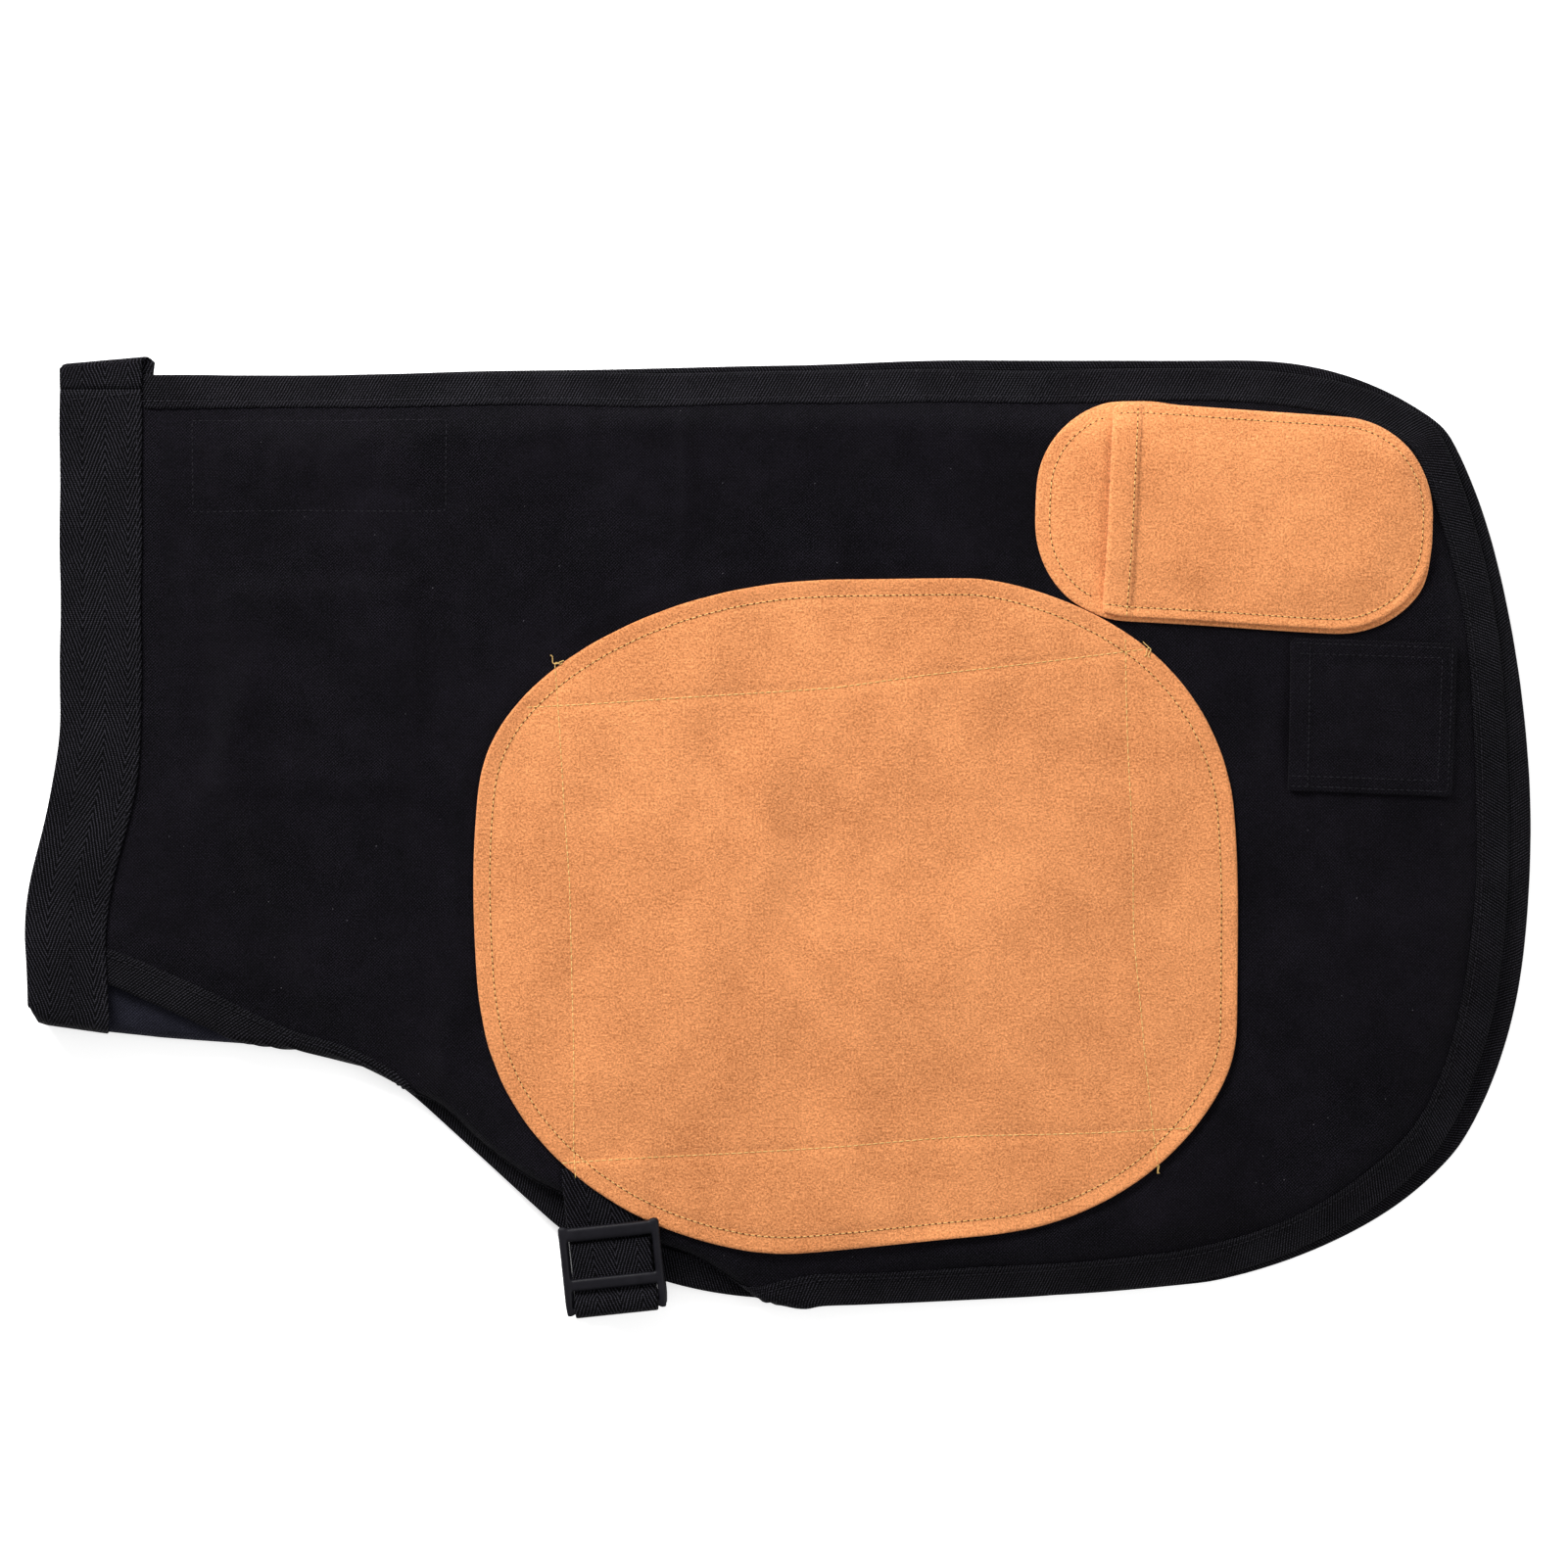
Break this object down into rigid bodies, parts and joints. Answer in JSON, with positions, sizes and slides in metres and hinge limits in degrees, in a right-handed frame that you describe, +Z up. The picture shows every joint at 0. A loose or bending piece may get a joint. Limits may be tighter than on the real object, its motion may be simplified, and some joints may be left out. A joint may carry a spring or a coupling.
{
  "type": "welding apron",
  "caption": "Two-legged black canvas work apron with tan suede thigh patches, pockets, waistband and leg straps, folded in half at the waist and laid flat.",
  "frame": {"origin": "middle of the underside of the folded apron, on the surface it lies on", "axes": "+X from the waist to the rounded hems, +Y to the outer side of the legs, +Z up through the two layers"},
  "size_m": [0.7012, 0.4456, 0.0264],
  "materials": {
    "black_canvas": "matt plain-weave cotton canvas",
    "binding_tape": "matt twill tape",
    "herringbone_webbing": "matt herringbone cotton webbing",
    "tan_suede": "napped suede split",
    "black_plastic": "satin moulded nylon",
    "magnet_metal": "plated, satin",
    "cream_thread": "waxed thread",
    "black_thread": "matt thread"
  },
  "bodies": {
    "lower_leg": {"lower_leg_canvas": "black_canvas", "lower_edge_binding": "binding_tape", "lower_waistband": "herringbone_webbing", "lower_belt_tail": "herringbone_webbing", "lower_thigh_patch": "tan_suede", "lower_thigh_backing": "black_canvas", "lower_knife_pocket_back": "tan_suede", "lower_knife_pocket_front": "tan_suede", "lower_tool_pocket": "black_canvas", "lower_magnet_backing": "black_canvas", "lower_magnet_1": "magnet_metal", "lower_magnet_2": "magnet_metal", "lower_magnet_3": "magnet_metal", "lower_magnet_4": "magnet_metal", "lower_thigh_strap": "herringbone_webbing", "lower_strap_tab": "herringbone_webbing"},
    "upper_leg": {"upper_leg_canvas": "black_canvas", "upper_edge_binding": "binding_tape", "upper_waistband": "herringbone_webbing", "upper_belt_tail": "herringbone_webbing", "upper_thigh_patch": "tan_suede", "upper_thigh_backing": "black_canvas", "upper_knife_pocket_back": "tan_suede", "upper_knife_pocket_front": "tan_suede", "upper_tool_pocket": "black_canvas", "upper_magnet_backing": "black_canvas", "upper_magnet_1": "magnet_metal", "upper_magnet_2": "magnet_metal", "upper_magnet_3": "magnet_metal", "upper_magnet_4": "magnet_metal", "upper_thigh_strap": "herringbone_webbing", "upper_strap_tab": "herringbone_webbing", "belt_ladder_lock": "black_plastic"},
    "upper_lock": {"upper_ladder_lock": "black_plastic"},
    "lower_lock": {"lower_ladder_lock": "black_plastic"}
  },
  "joints": [
    {"name": "waist_fold", "type": "hinge", "parent": "lower_leg", "child": "upper_leg", "pos_m": [-0.34904, -0.08872, 0.0132], "axis": [0.8261, -0.5635, 0], "range_deg": [0, 180]},
    {"name": "upper_lock_swing", "type": "hinge", "parent": "upper_leg", "child": "upper_lock", "pos_m": [-0.07574, -0.21747, 0.023], "axis": [0.9945, 0.1045, 0], "range_deg": [0, 180]},
    {"name": "lower_lock_swing", "type": "hinge", "parent": "lower_leg", "child": "lower_lock", "pos_m": [-0.07574, -0.21747, 0.0034], "axis": [-0.9945, -0.1045, 0], "range_deg": [0, 180]}
  ]
}
